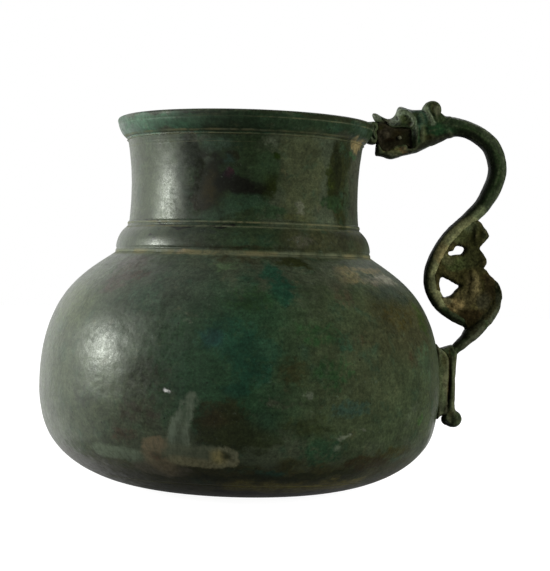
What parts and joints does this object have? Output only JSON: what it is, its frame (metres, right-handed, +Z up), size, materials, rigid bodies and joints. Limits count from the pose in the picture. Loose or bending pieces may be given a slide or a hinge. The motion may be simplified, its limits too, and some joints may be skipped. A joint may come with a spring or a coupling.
{
  "type": "cast jug",
  "caption": "Squat round-bellied cast metal jug with a wide waisted neck, a flared rim and an S-shaped handle that ends in a beast's head biting the rim.",
  "frame": {"origin": "centre of the flat underside, on the vessel's axis, where the jug stands", "axes": "+Z up along the vessel's axis, +X towards the handle, +Y across the handle's plane"},
  "size_m": [0.1697, 0.1468, 0.1443],
  "materials": {
    "vessel_bronze": "old bronze with a smooth dark green patina and a soft sheen",
    "handle_bronze": "cast bronze with a green patina, worn lighter on its ridges",
    "leaf_bronze": "rough cast openwork under a brown earthy crust",
    "solder": "dull brown oxidised soft solder"
  },
  "bodies": {
    "root": {"base_dish": "vessel_bronze", "body_shell": "vessel_bronze", "neck_tube": "vessel_bronze", "collar_ring": "vessel_bronze", "rim_ring": "vessel_bronze", "handle_casting": "handle_bronze", "leaf_scroll": "leaf_bronze", "foot_strap": "handle_bronze", "foot_pad": "solder", "rim_lug": "handle_bronze", "jaw_solder": "solder"}
  },
  "joints": []
}
